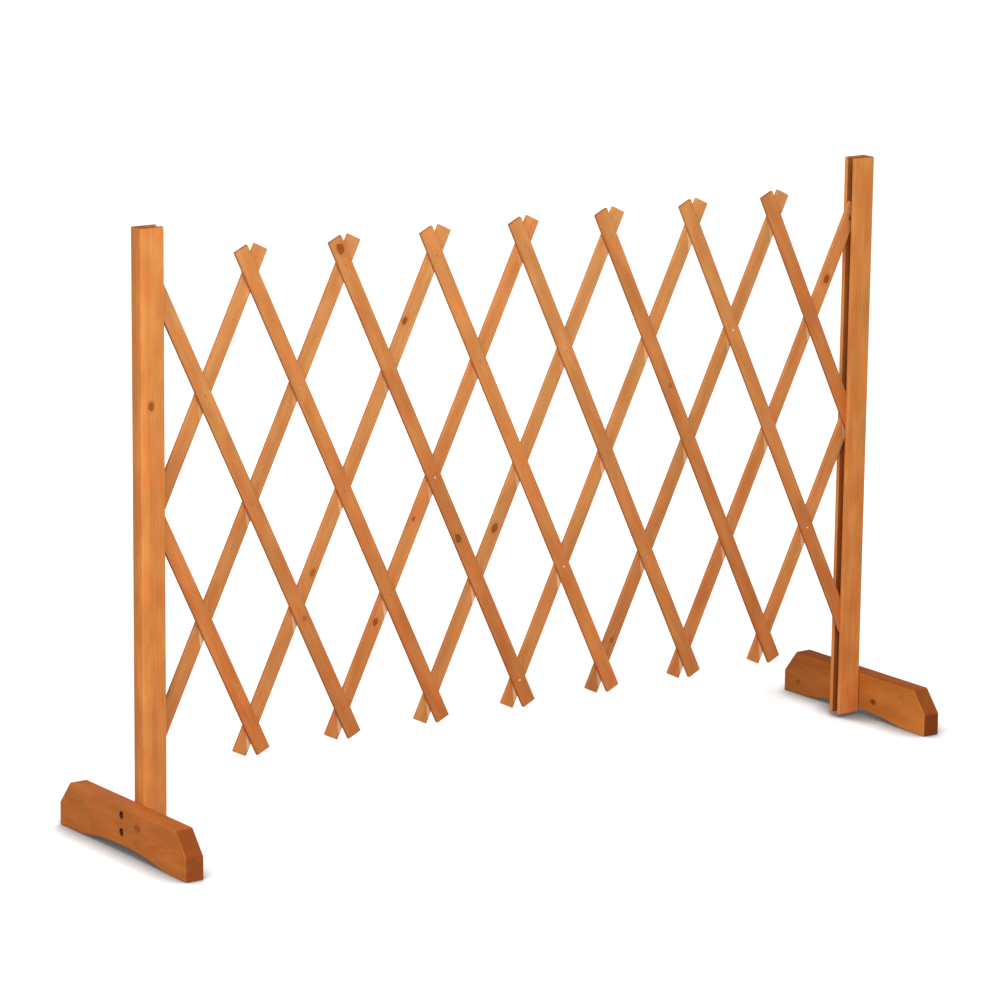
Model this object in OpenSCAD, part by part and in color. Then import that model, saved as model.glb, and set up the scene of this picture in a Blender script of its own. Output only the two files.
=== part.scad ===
// Free-standing expanding lattice trellis. Two grooved posts stand on arched feet, and a lattice of
// two slat layers, pinned at every crossing, opens and folds between them.
// Millimetres, +Z up, the lattice runs along X and its front faces -Y.
// The origin is on the floor, midway between the posts.

/* [Lattice] */
// Distance between neighbouring pins along a slat
pin_spacing = 213; // [180:1:240]
// Lean of every slat from upright in the stored pose, in degrees
slat_lean = 25.7; // [20:0.1:32]
// Width of a slat
slat_w = 27; // [20:0.5:30]
// Thickness of a slat
slat_t = 6.5; // [5:0.5:9]
// Length of a slat beyond its last pin at a free end
slat_tail = 50; // [30:1:60]
// Length of a slat beyond its last pivot inside a post's groove
groove_tail = 12; // [8:0.5:14]
// Gap between the front layer and the back layer
layer_gap = 0.3; // [0.1:0.1:1]

/* [Lattice pins] */
// Diameter of a pin's shank
pin_d = 2.2; // [1.6:0.1:3.5]
// Radial clearance of a pin in its holes
pin_fit = 0.05; // [0.02:0.01:0.1]
// Diameter of a pin's front head
pin_head_d = 3.4; // [3:0.1:6]
// Thickness of a pin's front head
pin_head_t = 0.5; // [0.4:0.1:1.2]
// Diameter of the spread tail behind the back layer
pin_tail_d = 3.6; // [3:0.1:6]
// Thickness of the spread tail
pin_tail_t = 0.5; // [0.4:0.1:1.2]
// End play between the back layer and the spread tail
pin_play = 0.15; // [0.05:0.05:0.5]
// Bevel round the rim of both pin ends
pin_bevel = 0.2; // [0.1:0.05:0.3]

/* [Posts] */
// Thickness of the cheek on each side of the groove
cheek_t = 7.5; // [6.5:0.5:12]
// Thickness of the wood behind the groove
web_t = 15; // [14:0.5:20]
// Play between the lattice and each cheek
groove_play = 0.35; // [0.3:0.05:1.5]
// Room between a slat's farthest corner and the bottom of the groove
groove_room = 2.0; // [0.5:0.1:5]
// Distance of the end pivots inside the mouth of the groove
pivot_inset = 10; // [6:0.5:12]
// Height of a post's lower end above the floor
post_lift = 6; // [2:0.5:12]
// Height of a post's upper end above the folded lattice
post_rise = 4; // [1:0.5:20]
// Bevel along a post's long edges
post_bevel = 1.5; // [0.5:0.1:3]

/* [Post pins] */
// Diameter of the pin that carries the middle row in a post
post_pin_d = 4; // [3:0.1:5]
// Depth of that pin in the front cheek
post_pin_bite = 5; // [3:0.5:6]
// Room beyond the pin's blind end
post_pin_room = 0.5; // [0.2:0.1:1]
// Diameter of its head on the back of the post
post_pin_head_d = 8; // [6:0.1:10]
// Thickness of its head
post_pin_head_t = 1.6; // [0.8:0.1:2.5]

/* [Feet] */
// Length of a foot from front to back
foot_len = 400; // [300:5:460]
// Height of a foot
foot_h = 81; // [75:1:100]
// Thickness of a foot
foot_t = 34; // [26:0.5:42]
// Length of the sloping cut at each end, along the foot
foot_cut_len = 33; // [20:1:50]
// Height of the sloping cut at each end
foot_cut_h = 41; // [20:1:50]
// Length of the flat pad at each end
foot_pad_len = 65; // [45:1:90]
// Rise of the arch between the pads
arch_rise = 13; // [6:0.5:20]
// Height of the folded lattice above the feet
fold_gap = 5; // [2:0.5:20]

/* [Foot screws] */
// Distance of the upper screw below the foot's top edge
top_screw_drop = 16; // [12:1:24]
// Distance between the two screws
screw_pitch = 29; // [20:0.5:30]
// Diameter of a screw's shank
screw_d = 5; // [4:0.1:6]
// Radial clearance of a screw in its holes
screw_fit = 0.05; // [0.02:0.01:0.1]
// Length of the screw that sits in the post
screw_bite = 12; // [8:0.5:13]
// Length of the screw's point
screw_point = 3; // [2:0.5:5]
// Diameter of a screw's head
screw_head_d = 10.4; // [8:0.1:12]
// Height of a screw's head
screw_head_h = 3.4; // [2.5:0.1:4.5]
// Bevel round a screw's head
screw_head_bevel = 0.9; // [0.3:0.1:1.5]
// Width of the cross slots in a screw's head
slot_w = 1.4; // [1:0.1:1.8]
// Length of the cross slots in a screw's head
slot_len = 6; // [4:0.1:6.5]
// Depth of the cross slots
slot_depth = 1.8; // [1:0.1:2.2]
// Gap round a head in its sunk hole
sink_gap = 1.8; // [0.8:0.1:2.5]
// Depth of the sunk hole
sink_depth = 7; // [5:0.5:12]

/* [Hidden] */
$fn = 48;
eps = 0.5;
end_col = 8;
mid_col = end_col / 2;
low_row = 4;
mid_row = low_row / 2;
column_pitch = 2 * pin_spacing * sin(slat_lean);
row_pitch = pin_spacing * cos(slat_lean);
fold_reach = mid_row * pin_spacing + slat_tail;
middle_h = foot_h + fold_gap + fold_reach;
post_top = middle_h + fold_reach + post_rise;
layer_in = layer_gap / 2;
layer_out = layer_in + slat_t;
groove_w = 2 * (layer_out + groove_play);
groove_depth = pivot_inset + norm([groove_tail, slat_w / 2]) + groove_room;
post_w = groove_depth + web_t;
post_d = groove_w + 2 * cheek_t;
post_in_x = mid_col * column_pitch - pivot_inset;
post_out_x = post_in_x + post_w;
foot_out_x = post_out_x + foot_t;
arch_half = foot_len / 2 - foot_pad_len;
arch_r = (arch_half * arch_half + arch_rise * arch_rise) / (2 * arch_rise);
post_pin_y = -groove_w / 2 - post_pin_bite;
seat_x = foot_out_x - sink_depth;
screw_tip_x = post_out_x - screw_bite;
wood = [0.74, 0.42, 0.22];
pale_wood = [0.80, 0.48, 0.26];
dark_wood = [0.66, 0.36, 0.19];
zinc = [0.72, 0.72, 0.70];

function pivot_x(col) = (col - mid_col) * column_pitch;
function pivot_z(row) = middle_h + (mid_row - row) * row_pitch;

// A round hole along Y through one slat layer
module slat_hole(d) {
    rotate([90, 0, 0])
        cylinder(h = 2 * slat_t + 2 * eps, d = d + 2 * pin_fit, center = true);
}

// One slat hanging from its upper pivot. Bays are the pin spacings that it spans. First and last count
// its pinned places from the top, and post_at is the place that turns on a post's pin, or -1.
module slat(bays, top_tail, low_tail, first, last, post_at) {
    difference() {
        translate([-slat_w / 2, -slat_t / 2, -bays * pin_spacing - low_tail])
            cube([slat_w, slat_t, bays * pin_spacing + low_tail + top_tail]);
        for (place = [first : last])
            translate([0, 0, -place * pin_spacing])
                slat_hole(place == post_at ? post_pin_d : pin_d);
    }
}

// A slat of the front layer, leaning down to the right from its upper pivot
module front_slat(col, row, bays, top_tail, low_tail, first, last, post_at) {
    translate([pivot_x(col), -layer_in - slat_t / 2, pivot_z(row)])
        rotate([0, -slat_lean, 0])
            slat(bays, top_tail, low_tail, first, last, post_at);
}

// A slat of the back layer, leaning down to the left from its upper pivot
module back_slat(col, row, bays, top_tail, low_tail, first, last, post_at) {
    translate([pivot_x(col), layer_in + slat_t / 2, pivot_z(row)])
        rotate([0, slat_lean, 0])
            slat(bays, top_tail, low_tail, first, last, post_at);
}

// A full slat with both ends free, by the column of its upper pivot
module free_front(col) {
    front_slat(col, 0, low_row, slat_tail, slat_tail, 0, low_row, -1);
}

module free_back(col) {
    back_slat(col, 0, low_row, slat_tail, slat_tail, 0, low_row, -1);
}

// One pin through both layers, its head in front and its spread tail behind
module lattice_pin() {
    front = layer_out + pin_head_t;
    rear = layer_out + pin_play + pin_tail_t;
    rotate([90, 0, 0])
        rotate_extrude()
            polygon([
                [0, -rear],
                [pin_tail_d / 2 - pin_bevel, -rear],
                [pin_tail_d / 2, -rear + pin_bevel],
                [pin_tail_d / 2, -layer_out - pin_play],
                [pin_d / 2, -layer_out - pin_play],
                [pin_d / 2, layer_out],
                [pin_head_d / 2, layer_out],
                [pin_head_d / 2, front - pin_bevel],
                [pin_head_d / 2 - pin_bevel, front],
                [0, front]
            ]);
}

// The pins that ride on one front slat, from its first pinned place to its last
module pin_row(col, row, first, last) {
    color(zinc)
        for (place = [first : last])
            translate([pivot_x(col + place / 2), 0, pivot_z(row + place)])
                lattice_pin();
}

// Plan of a post on the right, groove open towards the lattice
module post_plan() {
    b = post_bevel;
    y = post_d / 2;
    g = groove_w / 2;
    polygon([
        [post_in_x, -g],
        [post_in_x, -y + b],
        [post_in_x + b, -y],
        [post_out_x - b, -y],
        [post_out_x, -y + b],
        [post_out_x, y - b],
        [post_out_x - b, y],
        [post_in_x + b, y],
        [post_in_x, y - b],
        [post_in_x, g],
        [post_in_x + groove_depth, g],
        [post_in_x + groove_depth, -g]
    ]);
}

// A straight round bar along X between two places
module x_bar(x0, x1, d) {
    translate([x0, 0, 0])
        rotate([0, 90, 0])
            cylinder(h = x1 - x0, d = d);
}

// A straight round bar along Y between two places
module y_bar(y0, y1, d) {
    translate([0, y1, 0])
        rotate([90, 0, 0])
            cylinder(h = y1 - y0, d = d);
}

// Copies of a piece at the heights of both foot screws
module at_screws() {
    for (step = [0, 1])
        translate([0, 0, foot_h - top_screw_drop - step * screw_pitch])
            children();
}

module post() {
    color(wood)
        difference() {
            translate([0, 0, post_lift])
                linear_extrude(height = post_top - post_lift)
                    post_plan();
            at_screws()
                x_bar(screw_tip_x - eps, post_out_x + eps, screw_d + 2 * screw_fit);
            translate([pivot_x(end_col), 0, middle_h])
                y_bar(post_pin_y - post_pin_room, post_d / 2 + eps, post_pin_d + 2 * pin_fit);
        }
}

// The pin that holds the middle row of the lattice in a post, driven in from behind
module post_pin() {
    color(zinc)
        translate([pivot_x(end_col), 0, middle_h]) {
            y_bar(post_pin_y, post_d / 2 + post_pin_head_t, post_pin_d);
            y_bar(post_d / 2, post_d / 2 + post_pin_head_t, post_pin_head_d);
        }
}

// A foot board on the outer face of its post, arched underneath and cut back at both upper corners
module foot() {
    y = foot_len / 2;
    color(dark_wood)
        difference() {
            translate([post_out_x, 0, 0])
                rotate([90, 0, 90])
                    linear_extrude(height = foot_t)
                        polygon([
                            [-y, 0],
                            [y, 0],
                            [y, foot_h - foot_cut_h],
                            [y - foot_cut_len, foot_h],
                            [-y + foot_cut_len, foot_h],
                            [-y, foot_h - foot_cut_h]
                        ]);
            translate([0, 0, arch_rise - arch_r])
                x_bar(post_out_x - eps, foot_out_x + eps, 2 * arch_r);
            at_screws() {
                x_bar(post_out_x - eps, foot_out_x + eps, screw_d + 2 * screw_fit);
                x_bar(seat_x, foot_out_x + eps, screw_head_d + 2 * sink_gap);
            }
        }
}

// One screw along X, its head seated in the foot's sunk hole and its point in the post
module foot_screw() {
    top_x = seat_x + screw_head_h;
    difference() {
        rotate([0, 90, 0])
            rotate_extrude()
                polygon([
                    [0, screw_tip_x],
                    [screw_d / 2, screw_tip_x + screw_point],
                    [screw_d / 2, seat_x],
                    [screw_head_d / 2, seat_x],
                    [screw_head_d / 2, top_x - screw_head_bevel],
                    [screw_head_d / 2 - screw_head_bevel, top_x],
                    [0, top_x]
                ]);
        for (turn = [0, 90])
            rotate([turn, 0, 0])
                translate([top_x - slot_depth, -slot_len / 2, -slot_w / 2])
                    cube([slot_depth + eps, slot_len, slot_w]);
    }
}

module foot_screws() {
    color(zinc)
        at_screws()
            foot_screw();
}

// Left side pieces are mirror images of the right side ones
module left_post() {
    mirror([1, 0, 0])
        post();
}

module right_post() {
    post();
}

module left_foot() {
    mirror([1, 0, 0])
        foot();
}

module right_foot() {
    foot();
}

module left_foot_screws() {
    mirror([1, 0, 0])
        foot_screws();
}

module right_foot_screws() {
    foot_screws();
}

module left_post_pin() {
    mirror([1, 0, 0])
        post_pin();
}

module right_post_pin() {
    post_pin();
}

// The front layer from left to right. The outermost two on each side end in a post's groove.
module front_slat_1() {
    color(wood)
        front_slat(0, 2, 2, groove_tail, slat_tail, 0, 2, 0);
}

module front_slat_2() {
    color(wood)
        front_slat(0, 0, 4, groove_tail, slat_tail, 1, 4, -1);
}

module front_slat_3() {
    color(wood)
        free_front(1);
}

module front_slat_4() {
    color(wood)
        free_front(2);
}

module front_slat_5() {
    color(wood)
        free_front(3);
}

module front_slat_6() {
    color(wood)
        free_front(4);
}

module front_slat_7() {
    color(wood)
        free_front(5);
}

module front_slat_8() {
    color(wood)
        front_slat(6, 0, 4, slat_tail, groove_tail, 0, 3, -1);
}

module front_slat_9() {
    color(wood)
        front_slat(7, 0, 2, slat_tail, groove_tail, 0, 2, 2);
}

// The back layer from left to right
module back_slat_1() {
    color(pale_wood)
        back_slat(1, 0, 2, slat_tail, groove_tail, 0, 2, 2);
}

module back_slat_2() {
    color(pale_wood)
        back_slat(2, 0, 4, slat_tail, groove_tail, 0, 3, -1);
}

module back_slat_3() {
    color(pale_wood)
        free_back(3);
}

module back_slat_4() {
    color(pale_wood)
        free_back(4);
}

module back_slat_5() {
    color(pale_wood)
        free_back(5);
}

module back_slat_6() {
    color(pale_wood)
        free_back(6);
}

module back_slat_7() {
    color(pale_wood)
        free_back(7);
}

module back_slat_8() {
    color(pale_wood)
        back_slat(8, 0, 4, groove_tail, slat_tail, 1, 4, -1);
}

module back_slat_9() {
    color(pale_wood)
        back_slat(8, 2, 2, groove_tail, slat_tail, 0, 2, 0);
}

// The pins of each front slat
module slat_pins_1() {
    pin_row(0, 2, 1, 2);
}

module slat_pins_2() {
    pin_row(0, 0, 1, 4);
}

module slat_pins_3() {
    pin_row(1, 0, 0, 4);
}

module slat_pins_4() {
    pin_row(2, 0, 0, 4);
}

module slat_pins_5() {
    pin_row(3, 0, 0, 4);
}

module slat_pins_6() {
    pin_row(4, 0, 0, 4);
}

module slat_pins_7() {
    pin_row(5, 0, 0, 4);
}

module slat_pins_8() {
    pin_row(6, 0, 0, 3);
}

module slat_pins_9() {
    pin_row(7, 0, 0, 1);
}

left_post();
right_post();
left_foot();
right_foot();
left_foot_screws();
right_foot_screws();
left_post_pin();
right_post_pin();
front_slat_1();
front_slat_2();
front_slat_3();
front_slat_4();
front_slat_5();
front_slat_6();
front_slat_7();
front_slat_8();
front_slat_9();
back_slat_1();
back_slat_2();
back_slat_3();
back_slat_4();
back_slat_5();
back_slat_6();
back_slat_7();
back_slat_8();
back_slat_9();
slat_pins_1();
slat_pins_2();
slat_pins_3();
slat_pins_4();
slat_pins_5();
slat_pins_6();
slat_pins_7();
slat_pins_8();
slat_pins_9();
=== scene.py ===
"""A free-standing expanding garden trellis: grooved posts on arched feet, and a pinned slat lattice."""

import math
import random

import bmesh
import bpy
from mathutils import Matrix, Vector


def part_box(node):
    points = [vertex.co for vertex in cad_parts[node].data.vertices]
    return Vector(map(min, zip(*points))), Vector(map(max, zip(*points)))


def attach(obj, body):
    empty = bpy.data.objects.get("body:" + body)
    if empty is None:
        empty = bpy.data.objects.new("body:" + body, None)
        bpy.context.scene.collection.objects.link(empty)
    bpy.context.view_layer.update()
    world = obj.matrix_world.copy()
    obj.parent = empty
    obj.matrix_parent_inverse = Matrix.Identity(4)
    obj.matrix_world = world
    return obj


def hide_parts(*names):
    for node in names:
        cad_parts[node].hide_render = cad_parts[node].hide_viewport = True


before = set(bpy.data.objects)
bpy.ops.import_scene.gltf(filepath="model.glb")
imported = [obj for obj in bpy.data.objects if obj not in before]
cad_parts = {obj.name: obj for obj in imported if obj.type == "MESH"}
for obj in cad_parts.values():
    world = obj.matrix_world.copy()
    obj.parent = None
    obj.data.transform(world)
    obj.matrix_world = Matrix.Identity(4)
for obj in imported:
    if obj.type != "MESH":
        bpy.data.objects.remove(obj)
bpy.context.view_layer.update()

scene = bpy.context.scene
scene.view_settings.view_transform = "Standard"


# Camera. It stands to the left of the trellis and a little above it, far off with a long lens, and is
# turned by two thirds of a degree as the photograph is.
look_at = Vector((-0.0424, 0.0, 0.5044))
distance = 7.706
azimuth, elevation, roll = (math.radians(a) for a in (-36.14, 12.58, 0.66))
focal_px, frame_px = 4463, 1000

flat = math.cos(elevation)
back = Vector((math.sin(azimuth) * flat, -math.cos(azimuth) * flat, math.sin(elevation)))
right = Vector((math.cos(azimuth), math.sin(azimuth), 0.0))
up = back.cross(right)
turned_right = math.cos(roll) * right + math.sin(roll) * up
turned_up = math.cos(roll) * up - math.sin(roll) * right
camera_data = bpy.data.cameras.new("camera")
camera_data.sensor_width = 36.0
camera_data.lens = camera_data.sensor_width * focal_px / frame_px
camera_data.clip_end = 100.0
camera = bpy.data.objects.new("camera", camera_data)
scene.collection.objects.link(camera)
turn = Matrix((turned_right, turned_up, back)).transposed().to_4x4()
camera.matrix_world = Matrix.Translation(look_at + back * distance) @ turn
scene.camera = camera


# Studio. A plain white floor that keeps the soft shadows, with a contact shadow painted in close to the
# trellis, white all round, a large lamp high in front, so that the trellis is a little darker to the right
# and towards the floor, and weaker ones to its left and behind it.
def add_node(tree, kind, *feeds, **settings):
    """A new node with its inputs fed in order by sockets or plain values; None leaves an input alone."""
    made = tree.nodes.new(kind)
    for name, value in settings.items():
        setattr(made, name, value)
    for socket, value in zip(made.inputs, feeds):
        if isinstance(value, bpy.types.NodeSocket):
            tree.links.new(value, socket)
        elif value is not None:
            socket.default_value = value
    return made


def maths(tree, operation, *feeds):
    """The result of one Math node."""
    return add_node(tree, "ShaderNodeMath", *feeds, operation=operation).outputs[0]


def ease(tree, value, low, high, to_low=0.0, to_high=1.0):
    """A smooth step from to_low to to_high while value goes from low to high."""
    return add_node(tree, "ShaderNodeMapRange", value, low, high, to_low, to_high,
                    interpolation_type="SMOOTHSTEP").outputs[0]


def seen_directly(tree):
    """1 for rays from the camera and for what metal mirrors, 0 for rays that only carry light."""
    path = tree.nodes.new("ShaderNodeLightPath")
    seen = maths(tree, "MAXIMUM", path.outputs["Is Camera Ray"], path.outputs["Is Glossy Ray"])
    return maths(tree, "MAXIMUM", seen, path.outputs["Is Transmission Ray"])


white = (1.0, 1.0, 1.0, 1.0)
sky_light, sky_seen = 0.50, 1.0
world = bpy.data.worlds.new("studio")
world.use_nodes = True
scene.world = world
tree = world.node_tree
tree.nodes.clear()
strength = ease(tree, seen_directly(tree), 0.0, 1.0, sky_light, sky_seen)
sky = add_node(tree, "ShaderNodeBackground", white, strength)
add_node(tree, "ShaderNodeOutputWorld", sky.outputs[0])

floor_half = 40.0
floor_bounce, floor_seen = 0.45, 0.85
near_lift, far_lift, near_to, far_from = 0.38, 0.66, 0.7, 2.6
painted_shade_reach, painted_shade_dark = 0.075, 0.20
closed_at, open_at = 0.42, 0.94
floor_paint = bpy.data.materials.new("floor_paint")
floor_paint.use_nodes = True
tree = floor_paint.node_tree
tree.nodes.clear()
seen = seen_directly(tree)
# Painted shade: close to the trellis, ambient occlusion darkens the floor's colour and glow as a contact
# shadow.
open_sky = add_node(tree, "ShaderNodeAmbientOcclusion", white, painted_shade_reach, samples=6).outputs["AO"]
painted_contact_shade = ease(tree, open_sky, closed_at, open_at, painted_shade_dark, 1.0)
paint_seen = maths(tree, "MULTIPLY", painted_contact_shade, floor_seen)
paint = add_node(tree, "ShaderNodeMix", seen, None, floor_bounce, paint_seen).outputs[0]
matt = add_node(tree, "ShaderNodeBsdfDiffuse", paint)
place = tree.nodes.new("ShaderNodeTexCoord").outputs["Object"]
away = add_node(tree, "ShaderNodeVectorMath", place, operation="LENGTH").outputs["Value"]
lift = maths(tree, "MULTIPLY", painted_contact_shade, ease(tree, away, near_to, far_from, near_lift, far_lift))
glow = add_node(tree, "ShaderNodeEmission", white, maths(tree, "MULTIPLY", seen, lift))
lit = add_node(tree, "ShaderNodeAddShader", matt.outputs[0], glow.outputs[0])
add_node(tree, "ShaderNodeOutputMaterial", lit.outputs[0])
floor_mesh = bpy.data.meshes.new("floor")
corners = [(x * floor_half, y * floor_half, 0.0) for x, y in ((-1, -1), (1, -1), (1, 1), (-1, 1))]
floor_mesh.from_pydata(corners, [], [(0, 1, 2, 3)])
floor_mesh.materials.append(floor_paint)
floor = bpy.data.objects.new("floor", floor_mesh)
scene.collection.objects.link(floor)

lamp_aim = Vector((0.0, 0.0, 0.5))
lamps = (("front_lamp", Vector((-1.25, -2.5, 3.3)), 2.0, 94.0),
         ("side_lamp", Vector((-3.4, -1.6, 2.9)), 1.6, 43.0),
         ("back_lamp", Vector((0.3, 3.6, 2.0)), 2.0, 30.0))
for name, spot, side, watts in lamps:
    lamp_data = bpy.data.lights.new(name, "AREA")
    lamp_data.energy = watts
    lamp_data.size = side
    lamp = bpy.data.objects.new(name, lamp_data)
    aim = (lamp_aim - spot).to_track_quat("-Z", "Y").to_matrix().to_4x4()
    lamp.matrix_world = Matrix.Translation(spot) @ aim
    scene.collection.objects.link(lamp)


# Posts. Each is one length of planed softwood, stained red-brown, with a groove down its inner face in
# which the lattice runs. Their edges are eased, and sawn faces such as the groove hold more stain, with
# painted shade also darkening the groove and the top.
def mixed(tree, share, start, end):
    """A blend of two colours, from start to end as share goes from 0 to 1."""
    feeds = (share, None, None, None, start, end)
    return add_node(tree, "ShaderNodeMix", *feeds, data_type="VECTOR").outputs[1]


def scaled(tree, color, by):
    """A colour times a number."""
    made = add_node(tree, "ShaderNodeVectorMath", color, operation="SCALE")
    tree.links.new(by, made.inputs["Scale"])
    return made.outputs[0]


def new_group(name, inputs, outputs):
    """An empty shader node group, the sockets that it is given and the sockets that it ends in."""
    group = bpy.data.node_groups.new(name, "ShaderNodeTree")
    for way, sockets in (("INPUT", inputs), ("OUTPUT", outputs)):
        for label, kind in sockets:
            group.interface.new_socket(label, in_out=way, socket_type="NodeSocket" + kind)
    return group, group.nodes.new("NodeGroupInput").outputs, group.nodes.new("NodeGroupOutput").inputs


def send(group, values, sockets):
    """Links values to sockets in order."""
    for value, socket in zip(values, sockets):
        group.links.new(value, socket)


def make_knot_group():
    """Grain that flows round a knot, and masks of it. A knot is its place across, along, and its radius.

    A radius below zero is a sound knot, about as pale as the wood, that shows by its outline.
    """
    group, given, out = new_group(
        "knot", [("Board", "Vector"), ("Knot", "Vector")],
        [("Board", "Vector"), ("Mask", "Float"), ("Halo", "Float"), ("Rim", "Float")])
    stretch, raggedness, ragged_scale, pale_share = 0.70, 0.75, 230.0, 0.45
    least_radius, least_square = 1e-4, 1e-9
    fill_to, fill_gone, halo_from, halo_gone = 0.82, 1.12, 0.9, 2.3
    rim_from, rim_full, rim_to, rim_gone = 0.55, 0.92, 0.98, 1.28
    heart_to, heart_gone, heart_share = 0.12, 0.5, 0.9
    board = add_node(group, "ShaderNodeSeparateXYZ", given["Board"]).outputs
    knot = add_node(group, "ShaderNodeSeparateXYZ", given["Knot"]).outputs
    ragged = add_node(group, "ShaderNodeTexNoise", given["Board"], None, ragged_scale, 2.0).outputs[0]
    across = maths(group, "SUBTRACT", board[0], knot[0])
    along = maths(group, "MULTIPLY", maths(group, "SUBTRACT", board[2], knot[1]), stretch)
    square = maths(group, "ADD", maths(group, "POWER", across, 2.0), maths(group, "POWER", along, 2.0))
    size = maths(group, "ADD", maths(group, "POWER", knot[2], 2.0), least_square)
    ratio = maths(group, "DIVIDE", size, maths(group, "MAXIMUM", square, size))
    bent = maths(group, "SUBTRACT", board[0], maths(group, "MULTIPLY", across, ratio))
    moved = add_node(group, "ShaderNodeCombineXYZ", bent, board[1], board[2]).outputs[0]
    spread = maths(group, "SQRT", maths(group, "DIVIDE", square, size))
    shake = maths(group, "MULTIPLY", maths(group, "SUBTRACT", ragged, 0.5), raggedness)
    spread = maths(group, "ADD", spread, shake)
    there = maths(group, "GREATER_THAN", maths(group, "ABSOLUTE", knot[2]), least_radius)
    dark = ease(group, knot[2], -least_radius, least_radius, pale_share, 1.0)
    filled = maths(group, "MULTIPLY", ease(group, spread, fill_to, fill_gone, 1.0, 0.0), dark)
    mask = maths(group, "MULTIPLY", filled, there)
    halo = maths(group, "MULTIPLY", ease(group, spread, halo_from, halo_gone, 1.0, 0.0), there)
    rim = maths(group, "MULTIPLY", ease(group, spread, rim_from, rim_full),
                ease(group, spread, rim_to, rim_gone, 1.0, 0.0))
    heart = maths(group, "MULTIPLY", ease(group, spread, heart_to, heart_gone, heart_share, 0.0), dark)
    rim = maths(group, "MAXIMUM", maths(group, "MULTIPLY", rim, dark), heart)
    send(group, (moved, mask, halo, maths(group, "MULTIPLY", rim, there)), out)
    return group


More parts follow.
